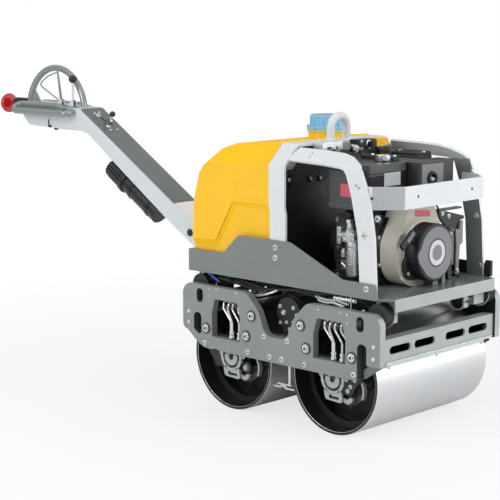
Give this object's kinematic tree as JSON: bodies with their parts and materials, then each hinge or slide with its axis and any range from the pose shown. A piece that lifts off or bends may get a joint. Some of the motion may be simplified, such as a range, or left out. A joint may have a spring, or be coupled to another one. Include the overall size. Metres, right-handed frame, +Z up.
{
  "type": "walk behind vibratory roller",
  "caption": "Walk-behind road roller: two smooth steel drums under a vibrating frame, diesel engine and water tank above on rubber buffers, and a hinged drawbar with hand controls.",
  "frame": {"origin": "on the floor, on the centreline, midway between the two drum axles", "axes": "+X forward, from the drawbar to the engine end; +Y to the left of the direction of travel; +Z up"},
  "size_m": [2.5631, 0.738, 1.267],
  "materials": {
    "plate_paint": "satin",
    "panel_paint": "satin",
    "guard_paint": "satin",
    "deck_paint": "satin",
    "drawbar_paint": "satin",
    "dark_paint": "satin",
    "black_paint": "satin",
    "drum_steel": "worn bright",
    "bright_steel": "zinc plated",
    "cast_iron": "painted grey",
    "engine_cast": "cast",
    "cowl_paint": "satin",
    "muffler_paint": "matt heat resistant",
    "tank_yellow": "satin moulded",
    "cap_blue": "gloss",
    "black_plastic": "matt",
    "grey_plastic": "satin",
    "stop_red": "gloss",
    "chrome": "polished",
    "rubber": "matt"
  },
  "bodies": {
    "chassis": {"side_plate_left": "plate_paint", "side_plate_right": "plate_paint", "bolts": "bright_steel", "cross_members": "plate_paint", "scrapers": "bright_steel", "sprinkler_pipes": "dark_paint", "centre_beam": "cast_iron", "exciter_housing": "cast_iron", "exciter_covers": "black_paint", "exciter_motor": "cast_iron", "bearings": "cast_iron", "drum_carriers": "black_paint", "drive_motors": "black_paint", "drive_pipes": "bright_steel", "rubber_mounts": "rubber", "mount_brackets": "guard_paint", "hydraulic_filter": "black_paint", "deck": "deck_paint", "side_panel_left": "panel_paint", "side_panel_right": "panel_paint", "guard_hoop": "guard_paint", "lifting_eye": "guard_paint", "front_guards": "guard_paint", "bumper_bar": "guard_paint", "water_tank": "tank_yellow", "hydraulic_tank": "dark_paint", "battery": "black_plastic", "bulkhead": "black_paint", "engine_block": "engine_cast", "cooling_cowl": "cowl_paint", "recoil_housing": "black_plastic", "fuel_tank": "grey_plastic", "air_filter": "black_plastic", "muffler": "muffler_paint", "hydraulic_pump": "cast_iron", "switch_box": "black_plastic", "drawbar_bracket": "plate_paint", "drawbar_pin": "bright_steel"},
    "front_drum": {"front_drum": "drum_steel", "front_axle": "cast_iron"},
    "rear_drum": {"rear_drum": "drum_steel", "rear_axle": "cast_iron"},
    "exciter": {"exciter_shaft": "bright_steel"},
    "drawbar": {"drawbar_channel": "drawbar_paint", "drawbar_cover": "dark_paint", "drawbar_head": "drawbar_paint", "head_hoop": "drawbar_paint", "hand_rails": "drawbar_paint", "document_tube": "black_plastic", "button_boot": "rubber"},
    "travel_lever": {"travel_lever": "bright_steel"},
    "vibration_lever": {"vibration_lever": "black_plastic"},
    "throttle_lever": {"throttle_lever": "black_plastic"},
    "stop_button": {"stop_button": "stop_red"},
    "document_cap": {"document_cap": "black_plastic"},
    "water_cap": {"water_cap": "cap_blue"},
    "fuel_cap": {"fuel_cap": "chrome"},
    "recoil_grip": {"recoil_grip": "black_plastic"},
    "crankshaft": {"crankshaft": "bright_steel"},
    "ignition_key": {"ignition_key": "black_plastic"}
  },
  "joints": [
    {"name": "front_drum_roll", "type": "hinge", "parent": "chassis", "child": "front_drum", "pos_m": [0.253, 0, 0.2], "axis": [0, 1, 0], "continuous": true},
    {"name": "rear_drum_roll", "type": "hinge", "parent": "chassis", "child": "rear_drum", "pos_m": [-0.253, 0, 0.2], "axis": [0, 1, 0], "continuous": true},
    {"name": "exciter_spin", "type": "hinge", "parent": "chassis", "child": "exciter", "pos_m": [0, 0, 0.405], "axis": [0, 1, 0], "continuous": true},
    {"name": "crankshaft_spin", "type": "hinge", "parent": "chassis", "child": "crankshaft", "pos_m": [0.3, 0, 0.645], "axis": [1, 0, 0], "continuous": true},
    {"name": "drawbar_tilt", "type": "hinge", "parent": "chassis", "child": "drawbar", "pos_m": [-0.56, 0, 0.487], "axis": [0, 1, 0], "range_deg": [0, 55]},
    {"name": "travel_lever_swing", "type": "hinge", "parent": "drawbar", "child": "travel_lever", "pos_m": [-1.60198, -0.042, 1.10772], "axis": [0, 1, 0], "range_deg": [-20, 20]},
    {"name": "vibration_lever_swing", "type": "hinge", "parent": "drawbar", "child": "vibration_lever", "pos_m": [-1.51999, -0.042, 1.10427], "axis": [0, 1, 0], "range_deg": [-15, 15]},
    {"name": "throttle_lever_swing", "type": "hinge", "parent": "drawbar", "child": "throttle_lever", "pos_m": [-1.32228, 0, 1.03226], "axis": [0, 1, 0], "range_deg": [-25, 25]},
    {"name": "stop_button_push", "type": "slide", "parent": "drawbar", "child": "stop_button", "axis": [1, 0, 0], "range_m": [0, 0.02], "stiffness_N_per_m": 2000},
    {"name": "document_cap_turn", "type": "hinge", "parent": "drawbar", "child": "document_cap", "pos_m": [-1.22182, 0, 0.78541], "axis": [-0.8515, 0, 0.5244], "range_deg": [0, 360]},
    {"name": "water_cap_turn", "type": "hinge", "parent": "chassis", "child": "water_cap", "pos_m": [-0.15479, 0.10744, 1.05], "axis": [0, 0, 1], "range_deg": [0, 90]},
    {"name": "fuel_cap_turn", "type": "hinge", "parent": "chassis", "child": "fuel_cap", "pos_m": [0.23303, -0.0372, 0.96], "axis": [0, 0, 1], "range_deg": [0, 90]},
    {"name": "recoil_pull", "type": "slide", "parent": "chassis", "child": "recoil_grip", "axis": [0, -0.9163, 0.4004], "range_m": [0, 0.5], "stiffness_N_per_m": 20, "springref_m": -0.05},
    {"name": "ignition_key_turn", "type": "hinge", "parent": "chassis", "child": "ignition_key", "pos_m": [0.06, 0.089, 1.006], "axis": [1, 0, 0], "range_deg": [0, 90]}
  ],
  "couplings": [
    {"joint": "rear_drum_roll", "follows": "front_drum_roll", "ratio": 1}
  ]
}
